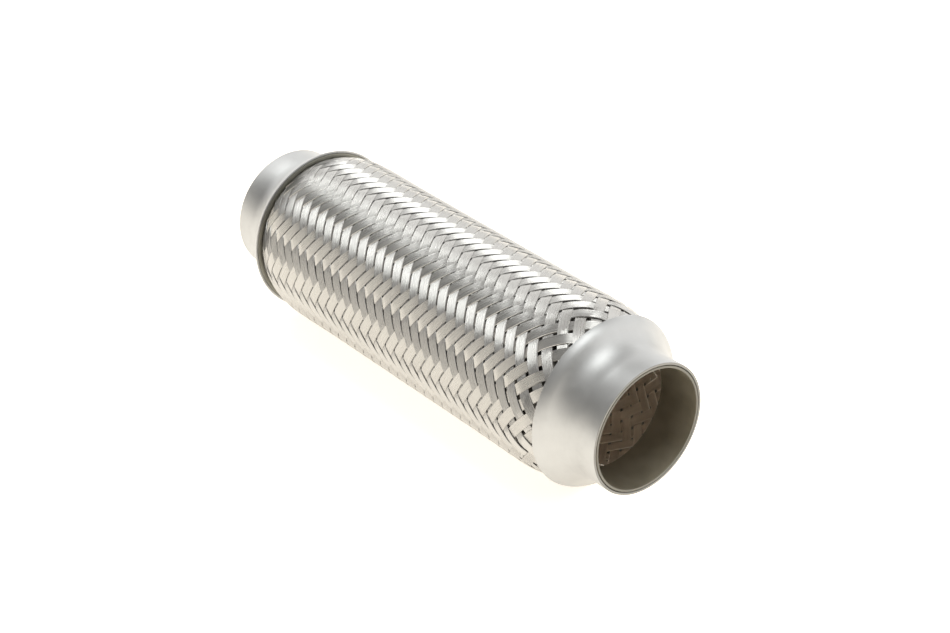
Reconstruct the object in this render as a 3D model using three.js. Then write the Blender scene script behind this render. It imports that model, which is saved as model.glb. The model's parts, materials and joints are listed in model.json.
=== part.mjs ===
// Braided flexible pipe connector: two pressed end caps joined by a corrugated metal
// bellows, with a woven wire braid outside it and a woven wire liner inside it.
//
// Millimetres. The pipe axis runs along X at the height of the largest radius, so the
// connector lies on Z = 0. X = 0 is the middle, and the front end is towards +X.
//
// The two braids and the bellows are flexible sleeves. Each one is made as short rings
// in line, with a gap between neighbours, so that the sleeve can bend and stretch there.

import * as THREE from "three";

// Overall sizes
const overallLength = 230;
const socketBore = 50.4; // the hole that the exhaust pipe goes into
const capLength = 25.2; // from the mouth to the edge of the lip

// Pressed end cap, a shell of one thickness
const capWall = 1.0;
const domeRadius = 9; // outside curve of the shoulder
const filletRadius = 15; // outside curve between shoulder and neck
const domeRise = 9.1; // how far the shoulder's crown would stand out from the neck
const crownToLip = 2.6; // the lip is cut off this far before the crown

// Pieces inside the cap
const sleeveWall = 1.0;
const sleeveOverlap = 2; // how far the sleeve reaches into the inner braid
const retainingRingWall = 1.4;
const retainingRingEnd = 0.7; // where it ends on the shoulder's arc, in radians from the axis

// The three flexible sleeves
const linerWall = 1.0;
const bellowsWall = 0.6;
const convolutionHeight = 5;
const convolutionsPerSection = 2;
const braidWall = 1.2;
const braidToBellows = 2.0; // free space between the crests and the braid

// The rings that stand for the flexible sleeves
const sectionCount = 11;
const sectionGap = 3; // room for a bend or a stroke between two rings
const looseEndLength = 5.8; // flexible sleeves fixed to the cap, outside its lip
const looseEndDrop = 1.0; // how much smaller the braid is there than in the middle

const seatGap = 0.3; // clearance between pieces that sit in one another
const roundSides = 24;
const bellowsSides = 16;

// Radii, from the bore outwards
const sleeveInner = socketBore / 2;
const sleeveOuter = sleeveInner + sleeveWall;
const neckInner = sleeveOuter + seatGap;
const neckOuter = neckInner + capWall;
const linerInner = sleeveOuter + seatGap;
const linerOuter = linerInner + linerWall;
const bellowsRootInner = linerOuter + seatGap;
const bellowsRootOuter = bellowsRootInner + bellowsWall;
const bellowsCrestOuter = bellowsRootOuter + convolutionHeight;
const braidInner = bellowsCrestOuter + braidToBellows;
const braidOuter = braidInner + braidWall;

// Places along the axis, measured from the middle towards either mouth
const mouthX = overallLength / 2;
const lipX = mouthX - capLength;
const looseEndX = lipX - looseEndLength;
const sectionPitch = (2 * looseEndX - sectionGap) / sectionCount;
const sectionLength = sectionPitch - sectionGap;

// The shoulder's arc is centred past the lip, towards the middle of the connector. The
// fillet touches both the shoulder and the neck.
const domeCentre = { x: lipX - crownToLip, r: neckOuter + domeRise - domeRadius };
const lipOuter = domeCentre.r + Math.sqrt(domeRadius ** 2 - crownToLip ** 2);
const filletCentreR = neckOuter + filletRadius;
const centreDistance = domeRadius + filletRadius;
const centreRise = filletCentreR - domeCentre.r;
const centreRun = Math.sqrt(centreDistance ** 2 - centreRise ** 2);
const filletCentre = { x: domeCentre.x + centreRun, r: filletCentreR };
const tangentAngle = Math.atan2(centreRise, centreRun);

// The bellows cuff and the inner braid end just short of the inside of the cap.
const cuffEndX = capInsideX(bellowsRootOuter + seatGap) - seatGap;
const sleeveEndX = cuffEndX - sleeveOverlap;

const steel = (name, colour, roughness) =>
  new THREE.MeshStandardMaterial({ name, color: colour, metalness: 1, roughness });

const finishes = {
  cap: () => steel("cap", 0xb9bab6, 0.45),
  sleeve: () => steel("sleeve", 0x6b6454, 0.5),
  retainer: () => steel("retainer", 0x7d7b73, 0.5),
  braid: () => steel("braid", 0xc4c2bc, 0.25),
  bellows: () => steel("bellows", 0xa8a59c, 0.3),
  liner: () => steel("liner", 0x7b7060, 0.4),
};

// Points of an arc around a centre on the profile plane, from one angle to another.
function arcPoints(centre, radius, fromAngle, toAngle, steps) {
  const points = [];
  for (let i = 0; i <= steps; i += 1) {
    const angle = fromAngle + ((toAngle - fromAngle) * i) / steps;
    points.push([centre.x + radius * Math.cos(angle), centre.r + radius * Math.sin(angle)]);
  }
  return points;
}

// The angle on the shoulder's arc of a given radius at a given place along the axis.
const domeAngleAt = (x, radius) => Math.acos((x - domeCentre.x) / radius);

// The place along the axis where the inside of the cap has a given radius.
function capInsideX(r) {
  const domeInside = domeRadius - capWall;
  const tangentR = domeCentre.r + domeInside * Math.sin(tangentAngle);
  if (r >= tangentR) {
    return domeCentre.x + Math.sqrt(domeInside ** 2 - (r - domeCentre.r) ** 2);
  }
  const filletInside = filletRadius + capWall;
  return filletCentre.x - Math.sqrt(filletInside ** 2 - (filletCentre.r - r) ** 2);
}

// A solid of revolution about the pipe axis. The profile is a closed loop of [x, r]
// points, where r is the distance from the axis to the middle of a flat side. One flat
// side faces straight down.
function turnedSolid(name, profile, sides, material, towards = 1) {
  const flatToCorner = 1 / Math.cos(Math.PI / sides);
  const loop = profile.map(([x, r]) => new THREE.Vector2(r * flatToCorner, x * towards));
  if (THREE.ShapeUtils.isClockWise(loop)) {
    loop.reverse();
  }
  loop.push(loop[0].clone());
  const geometry = new THREE.LatheGeometry(loop, sides, Math.PI / sides);
  geometry.rotateZ(-Math.PI / 2);
  const mesh = new THREE.Mesh(geometry, material);
  mesh.name = name;
  return mesh;
}

// A plain tube between two places along the axis.
const tubeProfile = (fromX, toX, innerR, outerR) => [
  [fromX, outerR],
  [toX, outerR],
  [toX, innerR],
  [fromX, innerR],
];

function endCap(end, towards) {
  const domeSteps = 4;
  const filletSteps = 5;
  const surface = (inset) => [
    ...arcPoints(
      domeCentre,
      domeRadius - inset,
      domeAngleAt(lipX, domeRadius - inset),
      tangentAngle,
      domeSteps,
    ),
    ...arcPoints(
      filletCentre,
      filletRadius + inset,
      tangentAngle + Math.PI,
      1.5 * Math.PI,
      filletSteps,
    ).slice(1),
    [mouthX, neckOuter - inset],
  ];
  const profile = [...surface(0), ...surface(capWall).reverse()];
  return turnedSolid(`end_cap_${end}`, profile, roundSides, finishes.cap(), towards);
}

function innerSleeve(end, towards) {
  const profile = tubeProfile(sleeveEndX, mouthX, sleeveInner, sleeveOuter);
  return turnedSolid(`inner_sleeve_${end}`, profile, roundSides, finishes.sleeve(), towards);
}

// The retaining ring lines the lip, following the inside of the shoulder.
function retainingRing(end, towards) {
  const steps = 3;
  const outerArc = domeRadius - capWall - seatGap;
  const innerArc = outerArc - retainingRingWall;
  const side = (radius) =>
    arcPoints(domeCentre, radius, domeAngleAt(lipX, radius), retainingRingEnd, steps);
  const profile = [...side(outerArc), ...side(innerArc).reverse()];
  return turnedSolid(`retaining_ring_${end}`, profile, roundSides, finishes.retainer(), towards);
}

// The end of the outer braid: it comes out from under the retaining ring and swells to
// its free radius. Its hidden edge stops short of the bellows cuff.
function outerBraidEnd(end, towards) {
  const steps = 3;
  const outerArc = domeRadius - capWall - 2 * seatGap - retainingRingWall;
  const innerArc = outerArc - braidWall;
  const cuffClearR = bellowsRootOuter + seatGap;
  const farX = domeCentre.x + Math.sqrt(innerArc ** 2 - (cuffClearR - domeCentre.r) ** 2);
  const halfWayX = (looseEndX + lipX) / 2;
  const halfWayShare = 0.65; // share of its rise that the braid has made half way out
  const freeOuter = braidOuter - looseEndDrop;
  const side = (arc, freeR) => {
    const clamped = arcPoints(
      domeCentre,
      arc,
      domeAngleAt(lipX, arc),
      domeAngleAt(farX, arc),
      steps,
    );
    const lipR = clamped[0][1];
    return [[looseEndX, freeR], [halfWayX, lipR + halfWayShare * (freeR - lipR)], ...clamped];
  };
  const profile = [...side(outerArc, freeOuter), ...side(innerArc, freeOuter - braidWall).reverse()];
  return turnedSolid(`outer_braid_end_${end}`, profile, roundSides, finishes.braid(), towards);
}

// The plain cuff at the end of the bellows, inside the cap.
function bellowsCuff(end, towards) {
  const profile = tubeProfile(looseEndX, cuffEndX, bellowsRootInner, bellowsRootOuter);
  return turnedSolid(`bellows_cuff_${end}`, profile, roundSides, finishes.bellows(), towards);
}

// The end of the inner braid, held between the sleeve and the cuff.
function innerBraidEnd(end, towards) {
  const profile = tubeProfile(looseEndX, cuffEndX, linerInner, linerOuter);
  return turnedSolid(`inner_braid_end_${end}`, profile, roundSides, finishes.liner(), towards);
}

// One ring of bellows: whole convolutions around the middle of the ring, cut off at the
// ring's two faces. The wall is thicker along the radius where the flank is steep.
function bellowsSection(name, middleX) {
  const pitch = sectionPitch / convolutionsPerSection;
  const amplitude = convolutionHeight / 2;
  const meanOuter = bellowsRootOuter + amplitude;
  const waveNumber = (2 * Math.PI) / pitch;
  const halfLength = sectionLength / 2;
  const offsets = [-halfLength];
  for (let i = 1; i < 4 * convolutionsPerSection; i += 1) {
    const offset = (i * pitch) / 4 - sectionPitch / 2;
    if (Math.abs(offset) < halfLength - pitch / 8) {
      offsets.push(offset);
    }
  }
  offsets.push(halfLength);
  const crestShift = sectionPitch / 2 - pitch / 2;
  const phaseAt = (offset) => waveNumber * (offset - crestShift);
  const outer = offsets.map((offset) => [
    middleX + offset,
    meanOuter + amplitude * Math.cos(phaseAt(offset)),
  ]);
  const inner = offsets.map((offset, i) => {
    const slope = amplitude * waveNumber * Math.sin(phaseAt(offset));
    return [middleX + offset, outer[i][1] - bellowsWall * Math.hypot(1, slope)];
  });
  return turnedSolid(name, [...outer, ...inner.reverse()], bellowsSides, finishes.bellows());
}

function flexibleSection(index) {
  const middleX = (index - (sectionCount + 1) / 2) * sectionPitch;
  const fromX = middleX - sectionLength / 2;
  const toX = middleX + sectionLength / 2;
  const number = String(index).padStart(2, "0");
  const braid = tubeProfile(fromX, toX, braidInner, braidOuter);
  const liner = tubeProfile(fromX, toX, linerInner, linerOuter);
  return [
    turnedSolid(`outer_braid_${number}`, braid, roundSides, finishes.braid()),
    bellowsSection(`bellows_${number}`, middleX),
    turnedSolid(`inner_braid_${number}`, liner, roundSides, finishes.liner()),
  ];
}

const connector = new THREE.Group();
connector.position.z = Math.max(braidOuter, lipOuter);

for (const [end, towards] of [["rear", -1], ["front", 1]]) {
  connector.add(
    endCap(end, towards),
    innerSleeve(end, towards),
    retainingRing(end, towards),
    outerBraidEnd(end, towards),
    bellowsCuff(end, towards),
    innerBraidEnd(end, towards),
  );
}
for (let index = 1; index <= sectionCount; index += 1) {
  connector.add(...flexibleSection(index));
}

export default connector;
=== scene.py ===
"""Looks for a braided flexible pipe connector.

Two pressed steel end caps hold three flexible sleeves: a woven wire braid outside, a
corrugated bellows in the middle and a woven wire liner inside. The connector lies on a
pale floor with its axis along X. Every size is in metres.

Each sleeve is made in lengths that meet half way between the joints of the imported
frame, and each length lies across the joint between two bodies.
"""

import json
import logging
import math
from dataclasses import dataclass
from enum import Enum
from itertools import pairwise
from typing import Any, Mapping

import bpy
import numpy as np
from mathutils import Matrix, Vector

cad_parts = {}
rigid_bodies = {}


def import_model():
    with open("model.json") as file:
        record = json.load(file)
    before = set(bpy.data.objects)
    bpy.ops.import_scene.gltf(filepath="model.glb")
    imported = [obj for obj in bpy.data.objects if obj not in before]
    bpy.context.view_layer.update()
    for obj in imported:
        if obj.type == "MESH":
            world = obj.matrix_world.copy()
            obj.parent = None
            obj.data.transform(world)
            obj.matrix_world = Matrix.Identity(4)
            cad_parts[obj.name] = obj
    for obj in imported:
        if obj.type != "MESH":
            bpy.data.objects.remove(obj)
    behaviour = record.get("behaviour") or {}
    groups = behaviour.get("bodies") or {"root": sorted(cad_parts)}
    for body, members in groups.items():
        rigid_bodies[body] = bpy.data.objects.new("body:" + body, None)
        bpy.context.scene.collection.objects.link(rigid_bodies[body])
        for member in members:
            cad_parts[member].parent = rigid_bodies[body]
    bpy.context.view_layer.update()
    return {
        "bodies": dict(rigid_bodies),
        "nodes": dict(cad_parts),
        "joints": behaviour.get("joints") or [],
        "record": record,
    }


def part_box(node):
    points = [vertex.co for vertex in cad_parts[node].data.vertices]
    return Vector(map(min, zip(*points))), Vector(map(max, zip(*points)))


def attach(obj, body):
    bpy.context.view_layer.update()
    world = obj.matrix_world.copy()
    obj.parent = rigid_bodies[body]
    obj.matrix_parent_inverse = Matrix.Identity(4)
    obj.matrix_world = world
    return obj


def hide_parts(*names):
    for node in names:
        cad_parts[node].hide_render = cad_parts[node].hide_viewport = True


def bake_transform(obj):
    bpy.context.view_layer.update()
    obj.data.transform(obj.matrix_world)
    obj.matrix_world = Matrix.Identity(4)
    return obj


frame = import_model()
LOG = logging.getLogger("connector")
MM = 0.001
UV_NAME = "strand"
Outline = list[tuple[float, float]]


# ---------------------------------------------------------------- shader building


class Value:
    """A shader socket that takes part in sums written as Python expressions."""

    def __init__(self, graph: "Graph", socket: bpy.types.NodeSocket) -> None:
        """Keeps the graph that new nodes go to, and the socket.

        Args:
            graph: Where the nodes of a sum are added.
            socket: The output socket that this value stands for.
        """
        self.graph = graph
        self.socket = socket

    def __add__(self, other: "Operand") -> "Value":
        """Adds a value or a number."""
        return self.graph.math("ADD", self, other)

    def __radd__(self, other: float) -> "Value":
        """Adds this value to a number."""
        return self.graph.math("ADD", other, self)

    def __sub__(self, other: "Operand") -> "Value":
        """Takes a value or a number away."""
        return self.graph.math("SUBTRACT", self, other)

    def __rsub__(self, other: float) -> "Value":
        """Takes this value away from a number."""
        return self.graph.math("SUBTRACT", other, self)

    def __mul__(self, other: "Operand") -> "Value":
        """Multiplies by a value or a number."""
        return self.graph.math("MULTIPLY", self, other)

    def __rmul__(self, other: float) -> "Value":
        """Multiplies a number by this value."""
        return self.graph.math("MULTIPLY", other, self)

    def __truediv__(self, other: "Operand") -> "Value":
        """Divides by a value or a number."""
        return self.graph.math("DIVIDE", self, other)

    def floor(self) -> "Value":
        """The whole number below this value."""
        return self.graph.math("FLOOR", self)

    def root(self) -> "Value":
        """The square root of this value."""
        return self.graph.math("SQRT", self)

    def between(self, low: float, high: float) -> "Value":
        """A smooth step of this value.

        Args:
            low: Where the step is 0.
            high: Where the step is 1.

        Returns:
            The step, from 0 to 1.
        """
        settings = {"interpolation_type": "SMOOTHSTEP"}
        inputs = {"Value": self, "From Min": low, "From Max": high}
        return self.graph.output("ShaderNodeMapRange", "Result", settings, inputs)


Operand = Value | float


class Graph:
    """The node tree of one material, with its surface shader."""

    def __init__(self, name: str) -> None:
        """Makes a material with a Principled surface.

        Args:
            name: The material's name.
        """
        self.material = bpy.data.materials.new(name)
        self.material.use_nodes = True
        self.tree = self.material.node_tree
        self.shader = self.tree.nodes["Principled BSDF"]

    def node(
        self,
        kind: str,
        settings: Mapping[str, Any] | None = None,
        inputs: Mapping[str | int, Any] | None = None,
    ) -> bpy.types.Node:
        """Adds a node.

        Args:
            kind: The node's type.
            settings: Properties of the node, which are set before its inputs.
            inputs: A number, a colour or a value for each named or numbered socket.

        Returns:
            The node.
        """
        made = self.tree.nodes.new(kind)
        for key, value in (settings or {}).items():
            setattr(made, key, value)
        for key, value in (inputs or {}).items():
            if isinstance(value, Value):
                self.tree.links.new(value.socket, made.inputs[key])
            else:
                made.inputs[key].default_value = value
        return made

    def output(
        self,
        kind: str,
        name: str | int,
        settings: Mapping[str, Any] | None = None,
        inputs: Mapping[str | int, Any] | None = None,
    ) -> Value:
        """Adds a node and takes one of its outputs.

        Args:
            kind: The node's type.
            name: The output's name or number.
            settings: As for node.
            inputs: As for node.

        Returns:
            The output as a value.
        """
        return Value(self, self.node(kind, settings, inputs).outputs[name])

    def math(self, operation: str, *operands: Operand) -> Value:
        """Adds a Math node.

        Args:
            operation: The Math node's operation.
            *operands: Values or numbers, in the order of its sockets.

        Returns:
            The result.
        """
        return self.output("ShaderNodeMath", 0, {"operation": operation}, dict(enumerate(operands)))

    def mix(self, share: Operand, first: tuple | Value, second: tuple | Value) -> Value:
        """Mixes two colours.

        Args:
            share: 0 for the first colour, 1 for the second.
            first: A colour or a value.
            second: A colour or a value.

        Returns:
            The mixed colour.
        """
        settings = {"data_type": "RGBA", "clamp_factor": True}
        colours = [c if isinstance(c, Value) else (*c, 1.0) for c in (first, second)]
        inputs = {0: share, 6: colours[0], 7: colours[1]}
        return self.output("ShaderNodeMix", 2, settings, inputs)

    def noise(self, place: Value, scale: float, detail: float = 2.0) -> Value:
        """Fractal noise, about 0.5 on average.

        Args:
            place: The coordinates.
            scale: Features per unit.
            detail: How many finer layers are added.

        Returns:
            The noise's factor.
        """
        inputs = {"Vector": place, "Scale": scale, "Detail": detail}
        return self.output("ShaderNodeTexNoise", 0, None, inputs)

    def random(self, number: Value) -> Value:
        """A random value for each different number.

        Args:
            number: The number.

        Returns:
            From 0 to 1.
        """
        settings = {"noise_dimensions": "1D"}
        return self.output("ShaderNodeTexWhiteNoise", "Value", settings, {"W": number})

    def place(self) -> Value:
        """The object's own coordinates, in metres."""
        return self.output("ShaderNodeTexCoord", "Object")

    def parts(self, vector: Value) -> tuple[Value, Value, Value]:
        """The three parts of a vector.

        Args:
            vector: The vector.

        Returns:
            Its X, Y and Z.
        """
        split = self.node("ShaderNodeSeparateXYZ", None, {0: vector})
        return tuple(Value(self, socket) for socket in split.outputs)

    def vector(self, x: Operand, y: Operand, z: Operand) -> Value:
        """A vector from three values or numbers.

        Args:
            x: Its X.
            y: Its Y.
            z: Its Z.

        Returns:
            The vector.
        """
        return self.output("ShaderNodeCombineXYZ", 0, None, {0: x, 1: y, 2: z})

    def bump(self, height: Value, depth: float, strength: float) -> Value:
        """A normal that follows a height.

        Args:
            height: The height, from 0 to 1.
            depth: What a height of 1 stands for, in metres.
            strength: How much of it is used.

        Returns:
            The normal.
        """
        inputs = {"Height": height, "Distance": depth, "Strength": strength}
        return self.output("ShaderNodeBump", "Normal", None, inputs)

    def finish(self, **sockets: Any) -> bpy.types.Material:
        """Sets the surface shader's sockets.

        Args:
            **sockets: A number, a colour or a value for each socket, with _ for a space.

        Returns:
            The material.
        """
        for key, value in sockets.items():
            socket = self.shader.inputs[key.replace("_", " ")]
            if isinstance(value, Value):
                self.tree.links.new(value.socket, socket)
            else:
                socket.default_value = value
        return self.material


# ---------------------------------------------------------------- finishes


Colour = tuple[float, float, float]
CUT_BLUR = 0.05 * MM
CUT_DEPTH = 0.15 * MM


def cut_share(x: Value, cut_x: float) -> Value:
    """Tells a sheet's sawn edge, past a place along the axis, from its surface.

    Args:
        x: The place along the axis.
        cut_x: How far from the middle the sawn edge begins.

    Returns:
        1 on the sawn edge and 0 on the surface.
    """
    return (x * x).between((cut_x - CUT_BLUR) ** 2, (cut_x + CUT_BLUR) ** 2)


@dataclass(frozen=True)
class PressedSteel:
    """Satin steel sheet that was pressed and tumbled: grain, faint rings, dull patches.

    Its sawn edges, further than cut_x from the middle of the connector, are darker.
    """

    name: str
    light: Colour
    dark: Colour
    roughness: float
    axis_height: float
    cut_x: float
    cut: Colour = (0.3, 0.295, 0.28)
    grain_size: float = 0.35 * MM
    ring_pitch: float = 0.5 * MM
    patch_size: float = 14 * MM
    bump_depth: float = 0.02 * MM

    def material(self) -> bpy.types.Material:
        """Builds the material."""
        graph = Graph(self.name)
        place = graph.place()
        x, y, z = graph.parts(place)
        radius = (y * y + (z - self.axis_height) * (z - self.axis_height)).root()
        rings = graph.noise(graph.vector(x, radius, 0.0), 1 / self.ring_pitch, 3.0)
        grain = graph.noise(place, 1 / self.grain_size, 3.0)
        patches = graph.noise(place, 1 / self.patch_size, 4.0)
        scuffs = graph.noise(place, 5 / self.patch_size, 5.0).between(0.52, 0.7)
        tone = patches.between(0.3, 0.7) * 0.5 + grain * 0.3 + rings * 0.2
        roughness = patches * 0.16 + grain * 0.1 + scuffs * 0.05 + (self.roughness - 0.14)
        height = grain * 0.7 + rings * 0.3
        sheet = graph.mix(tone, self.dark, self.light)
        return graph.finish(
            Base_Color=graph.mix(cut_share(x, self.cut_x), sheet, self.cut),
            Metallic=1.0,
            Roughness=roughness,
            Normal=graph.bump(height, self.bump_depth, 0.35),
        )


@dataclass(frozen=True)
class DrawnTube:
    """Dull tube with lengthwise drawing marks, coloured dark brown all over.

    Its sawn edges, further than cut_x from the middle of the connector, are greyer.
    """

    name: str
    light: Colour
    dark: Colour
    roughness: float
    cut_x: float
    cut: Colour = (0.26, 0.25, 0.22)
    line_pitch: float = 0.45 * MM
    line_length: float = 25 * MM
    stain_size: float = 9 * MM
    bump_depth: float = 0.015 * MM

    def material(self) -> bpy.types.Material:
        """Builds the material."""
        graph = Graph(self.name)
        place = graph.place()
        x, y, z = graph.parts(place)
        stretched = graph.vector(x / self.line_length, y / self.line_pitch, z / self.line_pitch)
        lines = graph.noise(stretched, 1.0, 3.0)
        stains = graph.noise(place, 1 / self.stain_size, 4.0)
        tone = stains.between(0.3, 0.7) * 0.6 + lines * 0.4
        tube = graph.mix(tone, self.dark, self.light)
        return graph.finish(
            Base_Color=graph.mix(cut_share(x, self.cut_x), tube, self.cut),
            Metallic=1.0,
            Roughness=stains * 0.2 + lines * 0.12 + (self.roughness - 0.15),
            Normal=graph.bump(lines, self.bump_depth, 0.3),
        )


@dataclass(frozen=True)
class BrightWire:
    """Drawn wire laid in ribbons. The UV map runs along and across each strand.

    U counts metres along the strand, and V counts strands, so that its whole part tells
    one strand from the next.
    """

    name: str
    light: Colour
    dark: Colour
    roughness: float
    wires: int
    streak_length: float = 6 * MM
    streaks_per_wire: float = 4.0
    grime_size: float = 7 * MM
    bump_depth: float = 0.01 * MM

    def material(self) -> bpy.types.Material:
        """Builds the material."""
        graph = Graph(self.name)
        along, across, _ = graph.parts(graph.output("ShaderNodeUVMap", 0, {"uv_map": UV_NAME}))
        strand = across.floor()
        wire = (across * self.wires).floor()
        strand_tone = graph.random(strand)
        wire_tone = graph.random(wire)
        streaks_across = across * (self.wires * self.streaks_per_wire)
        stretched = graph.vector(along / self.streak_length, streaks_across, strand)
        streaks = graph.noise(stretched, 1.0, 3.0)
        grime = graph.noise(graph.place(), 1 / self.grime_size, 3.0)
        tone = strand_tone * 0.25 + wire_tone * 0.25 + streaks * 0.35 + grime * 0.15
        roughness = wire_tone * 0.06 + streaks * 0.12 + grime * 0.06 + (self.roughness - 0.12)
        return graph.finish(
            Base_Color=graph.mix(tone, self.dark, self.light),
            Metallic=1.0,
            Roughness=roughness,
            Normal=graph.bump(streaks, self.bump_depth, 0.05),
        )


@dataclass(frozen=True)
class StudioFloor:
    """Matt pale table top, lit from below, with the faintest unevenness."""

    name: str
    light: Colour
    dark: Colour
    glow: float
    clouds_per_metre: float = 3.0

    def material(self) -> bpy.types.Material:
        """Builds the material."""
        graph = Graph(self.name)
        cloud = graph.noise(graph.place(), self.clouds_per_metre)
        return graph.finish(
            Base_Color=graph.mix(cloud, self.dark, self.light),
            Roughness=0.9,
            Specular_IOR_Level=0.1,
            Emission_Color=(*self.light, 1.0),
            Emission_Strength=self.glow,
        )


# ---------------------------------------------------------------- places from the frame


@dataclass(frozen=True)
class Layout:
    """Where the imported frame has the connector's parts."""

    axis_height: float
    mouth_x: float
    lip_x: float
    sleeve_end_x: float
    cuff_end_x: float
    braid_end_x: float
    sleeve_radius: float
    liner_radius: float
    cuff_radius: float
    ring_middles: tuple[float, ...]
    bodies: tuple[str, ...]

    @classmethod
    def from_frame(cls, packed: Mapping[str, Any]) -> "Layout":
        """Reads the layout.


        Returns:
            The layout.
        """
        cap_low, cap_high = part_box("end_cap_front")
        sleeve_low, sleeve_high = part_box("inner_sleeve_front")
        height = (cap_low[2] + cap_high[2]) / 2
        count = sum(name.startswith("flex_") for name in packed["bodies"])
        middles = []
        for index in range(1, count + 1):
            ring_low, ring_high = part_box(f"outer_braid_{index:02d}")
            middles.append((ring_low[0] + ring_high[0]) / 2)
        flexible = [f"flex_{index:02d}" for index in range(1, count + 1)]
        return cls(
            axis_height=height,
            mouth_x=cap_high[0],
            lip_x=cap_low[0],
            sleeve_end_x=sleeve_low[0],
            cuff_end_x=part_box("bellows_cuff_front")[1][0],
            braid_end_x=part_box("outer_braid_end_front")[1][0],
            sleeve_radius=sleeve_high[2] - height,
            liner_radius=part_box("inner_braid_end_front")[1][2] - height,
            cuff_radius=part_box("bellows_cuff_front")[1][2] - height,
            ring_middles=tuple(middles),
            bodies=("rear_end", *flexible, "front_end"),
        )

    def stretches(self, end_x: float) -> list["Stretch"]:
        """The lengths that a flexible sleeve is made in, each across one joint.

        Args:
            end_x: How far the sleeve reaches from the middle, under the caps.

        Returns:
            The lengths, from the rear to the front.
        """
        cuts = (-end_x, *self.ring_middles, end_x)
        joint_gap = self.ring_middles[1] - self.ring_middles[0]
        found = []
        for index, (start, stop) in enumerate(pairwise(cuts)):
            joint = self.ring_middles[0] + (index - 0.5) * joint_gap
            pair = self.bodies[index], self.bodies[index + 1]
            found.append(Stretch(index, start, stop, joint, pair))
        return found


@dataclass(frozen=True)
class Stretch:
    """One length of a flexible sleeve, between the middles of two rings of the frame.
    """

    index: int
    start: float
    stop: float
    joint: float
    bodies: tuple[str, str]
    half_bend: float = 5.3 * MM

    def replaced(self, stem: str, end_stem: str, last: int) -> list[str]:
        """The frame's nodes that this length stands for.

        Args:
            stem: What the names of the sleeve's rings start with.
            end_stem: What the names of its two ends start with.
            last: The number of the last ring.

        Returns:
            The nodes' names.
        """
        rings = [f"{stem}_{self.index:02d}"] if self.index else [f"{end_stem}_rear"]
        return rings + ([f"{end_stem}_front"] if self.index == last else [])

    def attach(self, piece: bpy.types.Object, height: float) -> None:
        """Puts a piece's place into its mesh.

        Args:
            piece: The piece, in place.
            height: The height of the pipe axis; not used.
        """
        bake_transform(piece)


# ---------------------------------------------------------------- modelling by operator


def deselect() -> None:
    """Leaves nothing selected, before a new piece is added."""
    bpy.ops.object.select_all(action="DESELECT")


def make_active(piece: bpy.types.Object) -> None:
    """Selects one piece alone and makes it active."""
    deselect()
    piece.select_set(True)
    bpy.context.view_layer.objects.active = piece


def settle(piece: bpy.types.Object, name: str) -> bpy.types.Object:
    """Names a finished piece and puts its place in its mesh.

    Args:
        piece: The piece.
        name: Its name.

    Returns:
        The piece.
    """
    make_active(piece)
    bpy.ops.object.transform_apply(location=True, rotation=True, scale=True)
    piece.name = name
    piece.data.name = name
    return piece


def dress(piece: bpy.types.Object, material: bpy.types.Material) -> None:
    """Gives a piece one material."""
    piece.data.materials.clear()
    piece.data.materials.append(material)


def turn(name: str, outline: Outline, sides: int, height: float, closed: bool) -> bpy.types.Object:
    """Turns an outline about the pipe axis: a ring is extruded from point to point.

    Args:
        name: The piece's name.
        outline: Points along the axis and away from it.
        sides: How many sides a full turn has.
        height: The height of the pipe axis.
        closed: Whether the last point is joined back to the first.

    Returns:
        The piece, with its faces pointing outwards.
    """
    deselect()
    first_x, first_r = outline[0]
    bpy.ops.mesh.primitive_circle_add(
        vertices=sides,
        radius=first_r,
        location=(first_x, 0, height),
        rotation=(0, math.pi / 2, 0),
    )
    piece = bpy.context.object
    settle(piece, name)
    bpy.ops.object.mode_set(mode="EDIT")
    bpy.ops.mesh.select_mode(type="EDGE")
    bpy.ops.mesh.select_all(action="SELECT")
    for (before_x, before_r), (x, r) in pairwise(outline):
        bpy.ops.mesh.extrude_region_move(
            TRANSFORM_OT_translate={"value": (x - before_x, 0, 0)}
        )
        ratio = r / before_r
        bpy.ops.transform.resize(value=(1, ratio, ratio), center_override=(x, 0, height))
    if closed:
        bpy.ops.mesh.select_all(action="DESELECT")
        bpy.ops.mesh.select_non_manifold()
        bpy.ops.mesh.bridge_edge_loops()
    bpy.ops.mesh.select_all(action="SELECT")
    bpy.ops.mesh.normals_make_consistent(inside=False)
    bpy.ops.object.mode_set(mode="OBJECT")
    return piece


def smooth(piece: bpy.types.Object, degrees: float = 35) -> None:
    """Shades a piece smooth, apart from edges sharper than an angle."""
    make_active(piece)
    bpy.ops.object.shade_smooth_by_angle(angle=math.radians(degrees))


def arc(
    centre: tuple[float, float], radius: float, start: float, stop: float, steps: int
) -> Outline:
    """Points of an arc.

    Args:
        centre: The arc's centre.
        radius: Its radius.
        start: The angle of the first point, in radians.
        stop: The angle of the last point.
        steps: How many parts the arc has.

    Returns:
        The points.
    """
    angles = [start + (stop - start) * i / steps for i in range(steps + 1)]
    return [(centre[0] + radius * math.cos(a), centre[1] + radius * math.sin(a)) for a in angles]


# ---------------------------------------------------------------- end pieces


class End(Enum):
    """The two ends of the connector, and which way each one faces along X."""

    REAR = -1
    FRONT = 1

    @property
    def label(self) -> str:
        """The end's name in the names of pieces and bodies."""
        return self.name.lower()


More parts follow.
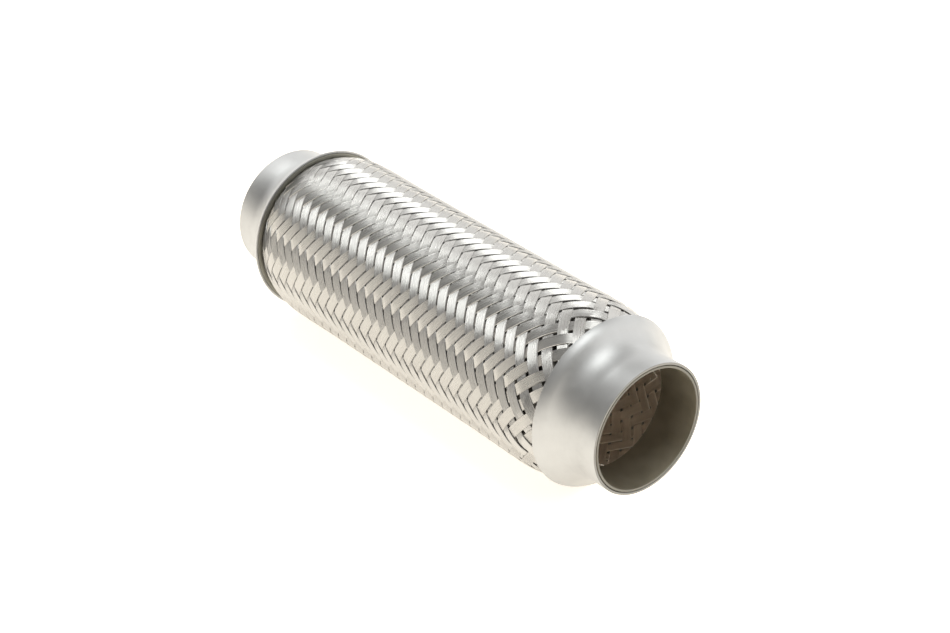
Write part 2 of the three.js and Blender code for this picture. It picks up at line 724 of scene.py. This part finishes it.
@dataclass
class EndCap:
    """The pressed cap, with the sleeve in its neck and the ring under its lip.

    The shoulder is a dome, cut off at the lip just before its crown, and a hollow fillet
    that leads into the neck. The ring follows the dome's inside from the lip to ring_end,
    an angle in radians from the axis. It fills nearly all the room under the lip, and its dark
    colour is painted shade for that room.
    """

    layout: Layout
    end: End
    wall: float = 1.0 * MM
    gap: float = 0.3 * MM
    dome_radius: float = 9 * MM
    fillet_radius: float = 15 * MM
    dome_rise: float = 9.1 * MM
    crown_to_lip: float = 2.6 * MM
    ring_gap: float = 0.06 * MM
    ring_wall: float = 1.85 * MM
    ring_end: float = 0.7
    edge_radius: float = 0.22 * MM
    sides: int = 160
    dome_steps: int = 16
    fillet_steps: int = 10
    ring_steps: int = 8

    @property
    def neck_radius(self) -> float:
        """The outside radius of the neck."""
        return self.layout.sleeve_radius + self.gap + self.wall

    @property
    def dome_centre(self) -> tuple[float, float]:
        """The centre of the shoulder's arc."""
        centre_r = self.neck_radius + self.dome_rise - self.dome_radius
        return self.layout.lip_x - self.crown_to_lip, centre_r

    def dome_angle(self, x: float, radius: float) -> float:
        """The angle on an arc about the shoulder's centre at a place along the axis."""
        return math.acos((x - self.dome_centre[0]) / radius)

    def surface(self, inset: float) -> Outline:
        """The cap's outside, or its inside at a depth.

        Args:
            inset: The depth below the outside.

        Returns:
            Points from the lip to the mouth.
        """
        centre_x, centre_r = self.dome_centre
        rise = self.neck_radius + self.fillet_radius - centre_r
        run = math.sqrt((self.dome_radius + self.fillet_radius) ** 2 - rise**2)
        fillet_centre = (centre_x + run, centre_r + rise)
        touch = math.atan2(rise, run)
        dome = self.dome_radius - inset
        fillet = self.fillet_radius + inset
        lip_angle = self.dome_angle(self.layout.lip_x + self.edge_radius, dome)
        shoulder = arc(self.dome_centre, dome, lip_angle, touch, self.dome_steps)
        neck_angle = 1.5 * math.pi
        hollow = arc(fillet_centre, fillet, touch + math.pi, neck_angle, self.fillet_steps)
        mouth = self.layout.mouth_x - self.edge_radius
        return [*shoulder, *hollow[1:], (mouth, self.neck_radius - inset)]

    def facing(self, outline: Outline) -> Outline:
        """An outline turned to this end."""
        return [(x * self.end.value, r) for x, r in outline]

    def rounded_edge(self, x: float, outer: float, inner: float, out: int) -> Outline:
        """The cut edge of a sheet, with both its corners rounded off.

        Args:
            x: Where the edge's face lies.
            outer: The sheet's outer radius there.
            inner: Its inner radius there.
            out: Which way along X the face looks.

        Returns:
            Points from the outer to the inner side, without the sheet's own points.
        """
        r = self.edge_radius
        back = x - out * r
        bulge = r * (1 - math.cos(math.pi / 4))
        return [
            (back + out * (r - bulge), outer - bulge),
            (x, outer - r),
            (x, inner + r),
            (back + out * (r - bulge), inner + bulge),
        ]

    def build_shell(self) -> bpy.types.Object:
        """Models the cap."""
        outside = self.surface(0)
        inside = self.surface(self.wall)[::-1]
        mouth = self.rounded_edge(self.layout.mouth_x, outside[-1][1], inside[0][1], 1)
        lip = self.rounded_edge(self.layout.lip_x, outside[0][1], inside[-1][1], -1)[::-1]
        outline = self.facing([*outside, *mouth, *inside, *lip])
        name = f"pressed_cap_{self.end.label}"
        piece = turn(name, outline, self.sides, self.layout.axis_height, closed=True)
        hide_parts(f"end_cap_{self.end.label}")
        return piece

    def build_sleeve(self) -> bpy.types.Object:
        """Models the thin tube in the neck."""
        outer = self.layout.sleeve_radius
        inner = outer - self.wall
        far = self.layout.sleeve_end_x
        mouth_x = self.layout.mouth_x
        mouth = self.rounded_edge(mouth_x, outer, inner, 1)
        tail = self.rounded_edge(far, outer, inner, -1)[::-1]
        edge = self.edge_radius
        outline = [(far + edge, outer), (mouth_x - edge, outer), *mouth]
        outline += [(mouth_x - edge, inner), (far + edge, inner), *tail]
        name = f"thin_sleeve_{self.end.label}"
        piece = turn(name, self.facing(outline), self.sides, self.layout.axis_height, closed=True)
        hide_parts(f"inner_sleeve_{self.end.label}")
        return piece

    def build_ring(self) -> bpy.types.Object:
        """Models the retaining ring, which lines the lip."""
        outer = self.dome_radius - self.wall - self.ring_gap
        inner = outer - self.ring_wall
        near = self.layout.lip_x + self.edge_radius

        def side(radius: float) -> Outline:
            """The ring's outside or inside, from the lip inwards."""
            start = self.dome_angle(near, radius)
            return arc(self.dome_centre, radius, start, self.ring_end, self.ring_steps)

        outside, inside = side(outer), side(inner)[::-1]
        edge = self.rounded_edge(self.layout.lip_x, outside[0][1], inside[-1][1], -1)[::-1]
        outline = self.facing([*outside, *inside, *edge])
        name = f"clamp_ring_{self.end.label}"
        piece = turn(name, outline, self.sides, self.layout.axis_height, closed=True)
        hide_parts(f"retaining_ring_{self.end.label}")
        return piece

    def build(
        self,
        sheet: bpy.types.Material,
        tube: bpy.types.Material,
        shade_painted_strip: bpy.types.Material,
    ) -> None:
        """Models and dresses the cap, the sleeve and the ring.

        Args:
            sheet: The cap's material.
            tube: The sleeve's material.
            shade_painted_strip: The ring's material, painted dark: painted shade for the room under
                the lip.
        """
        made = (
            (self.build_shell(), sheet, "cap"),
            (self.build_sleeve(), tube, "sleeve"),
            (self.build_ring(), shade_painted_strip, "retainer"),
        )
        for piece, material, slot in made:
            smooth(piece)
            dress(piece, material)
            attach(piece, f"{self.end.label}_end")
            LOG.info("%s: %d faces", piece.name, len(piece.data.polygons))


# ---------------------------------------------------------------- bellows


@dataclass
class Bellows:
    """The corrugated tube, with a plain cuff at each end."""

    layout: Layout
    wall: float = 0.6 * MM
    height: float = 5 * MM
    convolutions: int = 2
    steps: int = 14
    roundness: float = 1.5
    sides: int = 72

    @property
    def pitch(self) -> float:
        """The distance from crest to crest."""
        middles = self.layout.ring_middles
        return (middles[1] - middles[0]) / self.convolutions

    def radius(self, x: float) -> float:
        """The sheet's middle radius at a place along the axis.

        Args:
            x: The place.

        Returns:
            The radius, which stays at the root past the first and last joint.
        """
        root = self.layout.cuff_radius - self.wall / 2
        first_root = self.layout.ring_middles[-1] + self.pitch
        if abs(x) >= first_root:
            return root
        wave = math.cos(2 * math.pi * x / self.pitch)
        shaped = math.tanh(self.roundness * wave) / math.tanh(self.roundness)
        return root + self.height * (1 - shaped) / 2

    def outline(self, stretch: Stretch) -> Outline:
        """The sheet's middle line along one length."""
        span = stretch.stop - stretch.start
        count = max(round(span / self.pitch * self.steps), 2)
        places = [stretch.start + span * i / count for i in range(count + 1)]
        return [(x, self.radius(x)) for x in places]

    def build(self, metal: bpy.types.Material) -> None:
        """Models each length as a sheet and gives it its wall.

        Args:
            metal: The sheet's material.
        """
        height = self.layout.axis_height
        last = len(self.layout.ring_middles)
        for stretch in self.layout.stretches(self.layout.cuff_end_x):
            name = f"corrugated_tube_{stretch.index + 1:02d}"
            piece = turn(name, self.outline(stretch), self.sides, height, closed=False)
            wall = piece.modifiers.new("wall", "SOLIDIFY")
            wall.thickness = self.wall
            wall.offset = 0
            make_active(piece)
            bpy.ops.object.modifier_apply(modifier=wall.name)
            smooth(piece)
            dress(piece, metal)
            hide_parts(*stretch.replaced("bellows", "bellows_cuff", last))
            stretch.attach(piece, height)
            LOG.info("%s: %d faces", piece.name, len(piece.data.polygons))


# ---------------------------------------------------------------- woven sleeves


class Hand(Enum):
    """Which way a strand winds: about +X by the left or the right hand."""

    LEFT = -1
    RIGHT = 1


@dataclass(frozen=True)
class Strand:
    """One flat strand: where it crosses X = 0, and how it differs from its neighbours."""

    number: int
    hand: Hand
    angle: float
    drift: float
    lift: float


@dataclass(frozen=True)
class Weave:
    """The sizes of a two-over, two-under weave of flat strands.

    A strand is as wide as width says, or where the weave is tighter, as wide as cover
    times the room that it has. Drift and lift_drift are how far strands stray.
    """

    per_hand: int
    pitch: float
    width: float
    thickness: float
    lift: float
    wires: int
    groove: float
    right_angle: float
    left_angle: float
    cover: float = 0.91
    squareness: float = 2.2
    wire_crown: float = 0.2
    crown_depth: float = 0.1
    flat_share: float = 0.44
    drift: float = 0.1 * MM
    lift_drift: float = 0.025 * MM
    steps_per_pitch: float = 8.0
    seed: int = 7

    def strands(self) -> list[Strand]:
        """All the strands, with small differences that are the same at each run."""
        random = np.random.default_rng(self.seed)
        made = []
        for hand, first in ((Hand.RIGHT, self.right_angle), (Hand.LEFT, self.left_angle)):
            for number in range(self.per_hand):
                angle = first + 2 * math.pi * number / self.per_hand
                drift, lift = random.uniform(-1, 1, 2)
                stray = drift * self.drift, lift * self.lift_drift
                made.append(Strand(number, hand, angle, *stray))
        return made

    def height(self, column: np.ndarray) -> np.ndarray:
        """How far a right-hand strand stands out, for a place in the weave.

        Args:
            column: The sum of the two strands' numbers there. It passes over at 0 and 1
                and under at 2 and 3, and repeats every 4.

        Returns:
            From -1, under, to 1, over.
        """
        wave = np.cos((column - 0.5) * math.pi / 2)
        return np.tanh(self.squareness * wave) / math.tanh(self.squareness)

    def section(self) -> tuple[np.ndarray, np.ndarray]:
        """The outline of a strand cut across: wires side by side on a flat underside.

        Returns:
            Places across, as shares of the width, and heights above the middle.
        """
        crown, depth = self.wire_crown, self.crown_depth
        top = self.thickness / 2
        across, height = [], []
        for wire in range(self.wires):
            for place, share in ((-0.5, 1.0), (-crown, depth), (crown, depth)):
                across.append((wire + 0.5 + place) / self.wires - 0.5)
                height.append(top - share * self.groove)
        height[0] = 0.0
        across += [0.5, self.flat_share, 0.0, -self.flat_share]
        height += [0.0, -top, -top, -top]
        return np.array(across), np.array(height)


class WovenSleeve:
    """A woven sleeve on the pipe axis, made in lengths that each lie across one joint."""

    grid_margin: float = 5 * MM
    grid_points: int = 2001

    def __init__(self, layout: Layout, weave: Weave, end_x: float) -> None:
        """Works out how the strands turn along the sleeve.

        Args:
            layout: The places in the frame.
            weave: The weave's sizes.
            end_x: How far the sleeve reaches from the middle, under the caps.
        """
        self.layout = layout
        self.weave = weave
        self.end_x = end_x
        reach = end_x + self.grid_margin
        self.grid = np.linspace(-reach, reach, self.grid_points)
        rate = self.turn_rate(self.grid)
        steps = (rate[1:] + rate[:-1]) / 2 * np.diff(self.grid)
        turned = np.concatenate([[0.0], np.cumsum(steps)])
        self.turned = turned - np.interp(0.0, self.grid, turned)

    def local_pitch(self, x: np.ndarray) -> np.ndarray:
        """The distance along the axis from one strand to the next of the same hand."""
        return np.full_like(x, self.weave.pitch)

    def radius(self, x: np.ndarray) -> np.ndarray:
        """The radius half way through the sleeve's two layers."""
        raise NotImplementedError

    def turn_rate(self, x: np.ndarray) -> np.ndarray:
        """How fast a strand turns about the axis, in radians per metre along it."""
        return 2 * math.pi / (self.weave.per_hand * self.local_pitch(x))

    def turn_at(self, x: np.ndarray) -> np.ndarray:
        """The angle that a right-hand strand has turned through since X = 0."""
        return np.interp(x, self.grid, self.turned)

    def strand_points(self, strand: Strand, centre: np.ndarray) -> tuple[np.ndarray, np.ndarray]:
        """Places the points of one strand over one length.

        Args:
            strand: The strand.
            centre: Places along the axis of the strand's middle line.

        Returns:
            The points, by place along and around the section, and their UV places.
        """
        weave = self.weave
        share, height = weave.section()
        x0 = centre[:, None]
        radius = self.radius(x0)
        slope = radius * self.turn_rate(x0)
        along_axis = 1 / np.sqrt(1 + slope**2)
        around = slope * along_axis
        spacing = 2 * math.pi * radius / weave.per_hand * along_axis
        width = np.minimum(weave.width, weave.cover * spacing)
        across = share[None, :] * width
        hand = strand.hand.value
        x = x0 - hand * across * around
        middle = strand.angle + hand * self.turn_at(x0)
        angle = middle + (across * along_axis + strand.drift) / radius
        nominal = middle + across * along_axis / radius
        other = weave.left_angle if strand.hand is Hand.RIGHT else weave.right_angle
        crossed = (nominal - other + hand * self.turn_at(x)) * weave.per_hand / (2 * math.pi)
        over = hand * weave.height(strand.number + crossed)
        r = self.radius(x) + weave.lift * over + strand.lift + height[None, :]
        points = np.stack(
            [x, -r * np.sin(angle), self.layout.axis_height + r * np.cos(angle)], axis=-1
        )
        along = np.broadcast_to(x0 / along_axis, x.shape)
        order = strand.number + (weave.per_hand if strand.hand is Hand.LEFT else 0)
        uv = np.stack([along, np.broadcast_to(order + share + 0.5, x.shape)], axis=-1)
        return points, uv

    def build_length(self, name: str, stretch: Stretch) -> bpy.types.Object:
        """Makes all the strands over one length as one piece.

        Args:
            name: The piece's name.
            stretch: The length.

        Returns:
            The piece.
        """
        span = stretch.stop - stretch.start
        count = max(round(span * self.weave.steps_per_pitch / self.weave.pitch), 4)
        centre = np.linspace(stretch.start, stretch.stop, count + 1)
        points, uvs, faces = [], [], []
        offset = 0
        for strand in self.weave.strands():
            placed, uv = self.strand_points(strand, centre)
            rows, ring = placed.shape[:2]
            index = offset + np.arange(rows * ring).reshape(rows, ring)
            after = np.roll(index, -1, axis=1)
            sides = np.stack([index[:-1], after[:-1], after[1:], index[1:]], axis=-1)
            faces += sides.reshape(-1, 4).tolist()
            faces += [index[0, ::-1].tolist(), index[-1].tolist()]
            points.append(placed.reshape(-1, 3))
            uvs.append(uv.reshape(-1, 2))
            offset += rows * ring
        mesh = bpy.data.meshes.new(name)
        mesh.from_pydata(np.concatenate(points).tolist(), [], faces)
        corner = np.empty(len(mesh.loops), dtype=np.int32)
        mesh.loops.foreach_get("vertex_index", corner)
        layer = mesh.uv_layers.new(name=UV_NAME)
        layer.data.foreach_set("uv", np.concatenate(uvs)[corner].astype(np.float32).ravel())
        piece = bpy.data.objects.new(name, mesh)
        bpy.context.scene.collection.objects.link(piece)
        smooth(piece)
        return piece

    def build(self, name: str, stem: str, slot: str, metal: bpy.types.Material) -> None:
        """Makes and dresses every length of the sleeve.

        Args:
            name: What the pieces' names start with.
            stem: What the names of the frame's nodes start with.
            slot: The record's material slot; not used.
            metal: The wire's material.
        """
        last = len(self.layout.ring_middles)
        for stretch in self.layout.stretches(self.end_x):
            piece = self.build_length(f"{name}_{stretch.index + 1:02d}", stretch)
            dress(piece, metal)
            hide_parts(*stretch.replaced(stem, f"{stem}_end", last))
            stretch.attach(piece, self.layout.axis_height)
            LOG.info("%s: %d faces", piece.name, len(piece.data.polygons))


def rise(x: np.ndarray, low: float, high: float) -> np.ndarray:
    """A smooth step from 0 at low to 1 at high."""
    t = np.clip((x - low) / (high - low), 0, 1)
    return t * t * (3 - 2 * t)


class OuterBraid(WovenSleeve):
    """The braid: nearly straight, it swells a little before it dives under each lip.

    Under the lip it follows an arc of radius clamp_arc about the shoulder's centre. The
    weave is packed closer at the rear, and drawn open towards the front lip.
    """

    middle_radius: float = 36.38 * MM
    swell: float = 0.22 * MM
    swell_from: float = 45 * MM
    swell_to: float = 68 * MM
    dive_from: float = 73 * MM
    dive_power: float = 2.3
    clamp_arc: float = 6.0 * MM
    clamp_limit: float = 0.95
    packed: float = 0.36 * MM
    packed_over: tuple[float, float] = (44 * MM, 62 * MM)
    eased: float = 0.28 * MM
    eased_over: tuple[float, float] = (42 * MM, 58 * MM)
    drawn: float = 1.95 * MM
    drawn_over: tuple[float, float] = (66 * MM, 89 * MM)

    def __init__(self, layout: Layout, weave: Weave, cap: EndCap) -> None:
        """Takes the place of the clamped ends from the cap.

        Args:
            layout: The places in the frame.
            weave: The weave's sizes.
            cap: The cap that the ends are clamped in.
        """
        self.clamp_centre = cap.dome_centre
        super().__init__(layout, weave, layout.braid_end_x)

    def local_pitch(self, x: np.ndarray) -> np.ndarray:
        """The distance along the axis from one strand to the next of the same hand."""
        packed = self.packed * rise(-x, *self.packed_over)
        eased = self.eased * rise(x, *self.eased_over)
        drawn = self.drawn * rise(x, *self.drawn_over)
        return self.weave.pitch - packed + eased + drawn

    def radius(self, x: np.ndarray) -> np.ndarray:
        """The radius half way through the braid's two layers."""
        far = np.abs(x)
        centre_x, centre_r = self.clamp_centre
        clamped_x = np.clip(far - centre_x, 0, self.clamp_limit * self.clamp_arc)
        clamped = centre_r + np.sqrt(self.clamp_arc**2 - clamped_x**2)
        free = self.middle_radius + self.swell * rise(far, self.swell_from, self.swell_to)
        lip_x = self.layout.lip_x
        share = np.clip((far - self.dive_from) / (lip_x - self.dive_from), 0, 1)
        lip_r = centre_r + math.sqrt(self.clamp_arc**2 - (lip_x - centre_x) ** 2)
        dived = free - (self.middle_radius + self.swell - lip_r) * share**self.dive_power
        outside = np.where(far < lip_x, dived, np.minimum(clamped, lip_r))
        return outside - self.weave.lift - self.weave.thickness / 2


class InnerBraid(WovenSleeve):
    """The liner: a straight woven tube inside the bellows."""

    def radius(self, x: np.ndarray) -> np.ndarray:
        """The radius half way through the liner's two layers."""
        inset = self.weave.lift + self.weave.thickness / 2
        return np.full_like(x, self.layout.liner_radius - inset)


# ---------------------------------------------------------------- studio


def heading(azimuth: float, elevation: float) -> Vector:
    """The way from the connector to a place around it.

    Args:
        azimuth: The way round, in degrees from -Y towards +X.
        elevation: The way up, in degrees.

    Returns:
        A direction of length 1.
    """
    a, e = math.radians(azimuth), math.radians(elevation)
    return Vector((math.sin(a) * math.cos(e), -math.cos(a) * math.cos(e), math.sin(e)))


@dataclass(frozen=True)
class Panel:
    """A soft light that faces the connector. A radiance of 1 looks white."""

    name: str
    azimuth: float
    elevation: float
    size: tuple[float, float]
    radiance: float
    colour: Colour = (1, 1, 1)

    def hang(self, centre: Vector, distance: float) -> None:
        """Hangs the light.

        Args:
            centre: What it faces.
            distance: How far away it hangs.
        """
        data = bpy.data.lights.new(self.name, "AREA")
        data.shape = "RECTANGLE"
        data.size, data.size_y = self.size
        data.energy = math.pi * self.size[0] * self.size[1] * self.radiance
        data.color = self.colour
        light = bpy.data.objects.new(self.name, data)
        away = heading(self.azimuth, self.elevation)
        light.location = centre + away * distance
        light.rotation_euler = away.to_track_quat("Z", "Y").to_euler()
        light.visible_camera = False
        bpy.context.scene.collection.objects.link(light)


COOL_WHITE: Colour = (0.97, 1.0, 1.0)
PANELS = (
    Panel("overhead", azimuth=0, elevation=90, size=(2.4, 2.4), radiance=0.25),
    Panel("key", azimuth=96, elevation=71, size=(0.6, 0.6), radiance=3.6, colour=COOL_WHITE),
    Panel(
        "left softbox",
        azimuth=268,
        elevation=48,
        size=(0.42, 0.42),
        radiance=3.4,
        colour=COOL_WHITE,
    ),
    Panel("back wall", azimuth=150, elevation=25, size=(2.4, 1.2), radiance=1.05),
    Panel("left wall", azimuth=238, elevation=22, size=(2.2, 1.2), radiance=1.0),
)


@dataclass
class Studio:
    """Floor, camera and light."""

    layout: Layout
    azimuth: float = 50.4
    elevation: float = 30.7
    distance: float = 0.9139
    lens: float = 84.6
    shift_right: float = 0.0083
    shift_up: float = -0.00285
    near_clip: float = 0.05
    far_clip: float = 50.0
    floor_size: float = 12.0
    light_distance: float = 1.3
    fill_colour: Colour = (1.0, 0.99, 0.97)
    fill_strength: float = 0.26

    @property
    def centre(self) -> Vector:
        """The middle of the connector."""
        return Vector((0, 0, self.layout.axis_height))

    def place_camera(self) -> None:
        """Puts the camera where it sees the connector from its front mouth's side."""
        back = heading(self.azimuth, self.elevation)
        azimuth = math.radians(self.azimuth)
        right = Vector((math.cos(azimuth), math.sin(azimuth), 0))
        up = back.cross(right)
        data = bpy.data.cameras.new("camera")
        data.lens = self.lens
        data.clip_start = self.near_clip
        data.clip_end = self.far_clip
        camera = bpy.data.objects.new("camera", data)
        aside = right * self.shift_right
        above = up * self.shift_up
        camera.location = self.centre + back * self.distance + aside + above
        camera.rotation_euler = Matrix((right, up, back)).transposed().to_euler()
        bpy.context.scene.collection.objects.link(camera)
        bpy.context.scene.camera = camera

    def lay_floor(self, paper: bpy.types.Material) -> None:
        """Lays a floor that reaches past everything the camera sees.

        Args:
            paper: The floor's material.
        """
        deselect()
        bpy.ops.mesh.primitive_plane_add(size=self.floor_size)
        floor = settle(bpy.context.object, "floor")
        dress(floor, paper)

    def fill(self) -> None:
        """Gives the room its even light."""
        world = bpy.data.worlds.new("room")
        world.use_nodes = True
        background = world.node_tree.nodes["Background"]
        background.inputs["Color"].default_value = (*self.fill_colour, 1)
        background.inputs["Strength"].default_value = self.fill_strength
        bpy.context.scene.world = world
        bpy.context.scene.view_settings.view_transform = "Standard"

    def build(self, paper: bpy.types.Material) -> None:
        """Sets up the studio.

        Args:
            paper: The floor's material.
        """
        self.place_camera()
        self.lay_floor(paper)
        self.fill()
        for panel in PANELS:
            panel.hang(self.centre, self.light_distance)


# ---------------------------------------------------------------- the connector


OUTER_WEAVE = Weave(
    per_hand=24,
    pitch=5.74 * MM,
    width=4.25 * MM,
    thickness=0.45 * MM,
    lift=0.27 * MM,
    wires=10,
    groove=0.12 * MM,
    right_angle=math.radians(12.39),
    left_angle=math.radians(12.11),
)
INNER_WEAVE = Weave(
    per_hand=24,
    pitch=6.2 * MM,
    width=3.75 * MM,
    thickness=0.36 * MM,
    lift=0.26 * MM,
    wires=4,
    groove=0.12 * MM,
    right_angle=0.0,
    left_angle=math.radians(7.5),
    steps_per_pitch=5.0,
    seed=11,
)


def main() -> None:
    """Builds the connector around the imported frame."""
    logging.basicConfig(level=logging.INFO, format="%(message)s")
    layout = Layout.from_frame(frame)
    places = {"axis_height": layout.axis_height, "cut_x": layout.mouth_x - CUT_DEPTH}
    sheet = PressedSteel(
        "satin steel", light=(0.63, 0.63, 0.62), dark=(0.52, 0.52, 0.51), roughness=0.46, **places
    )
    # The clamp ring's steel is painted dark: painted shade for the shaded room under each cap's
    # lip, which the ring fills.
    shade_painted_strip = PressedSteel(
        "clamp strip", light=(0.4, 0.39, 0.34), dark=(0.3, 0.29, 0.25), roughness=0.55, **places
    )
    foil = PressedSteel(
        "bellows foil", light=(0.62, 0.6, 0.56), dark=(0.5, 0.48, 0.44), roughness=0.3, **places
    )
    tube = DrawnTube(
        "drawn tube",
        light=(0.38, 0.34, 0.265),
        dark=(0.29, 0.26, 0.195),
        roughness=0.6,
        cut_x=places["cut_x"],
    )
    wire = BrightWire(
        "bright wire",
        light=(0.62, 0.605, 0.58),
        dark=(0.5, 0.49, 0.465),
        roughness=0.29,
        wires=OUTER_WEAVE.wires,
    )
    # The liner's wire is coloured much lighter than the outer braid's wire: painted light for the
    # dim inside of the tube.
    liner = BrightWire(
        "liner wire",
        light=(0.96, 0.88, 0.78),
        dark=(0.68, 0.6, 0.52),
        roughness=0.44,
        wires=INNER_WEAVE.wires,
    )
    paper = StudioFloor(
        "pale table", light=(0.95, 0.9, 0.82), dark=(0.93, 0.88, 0.8), glow=0.85
    )

    Studio(layout).build(paper.material())
    caps = [EndCap(layout, end) for end in End]
    steels = sheet.material(), tube.material(), shade_painted_strip.material()
    for cap in caps:
        cap.build(*steels)
    OuterBraid(layout, OUTER_WEAVE, caps[0]).build(
        "outer_weave", "outer_braid", "braid", wire.material()
    )
    Bellows(layout).build(foil.material())
    InnerBraid(layout, INNER_WEAVE, layout.cuff_end_x).build(
        "inner_weave", "inner_braid", "liner", liner.material()
    )


if __name__ == "__main__":
    main()
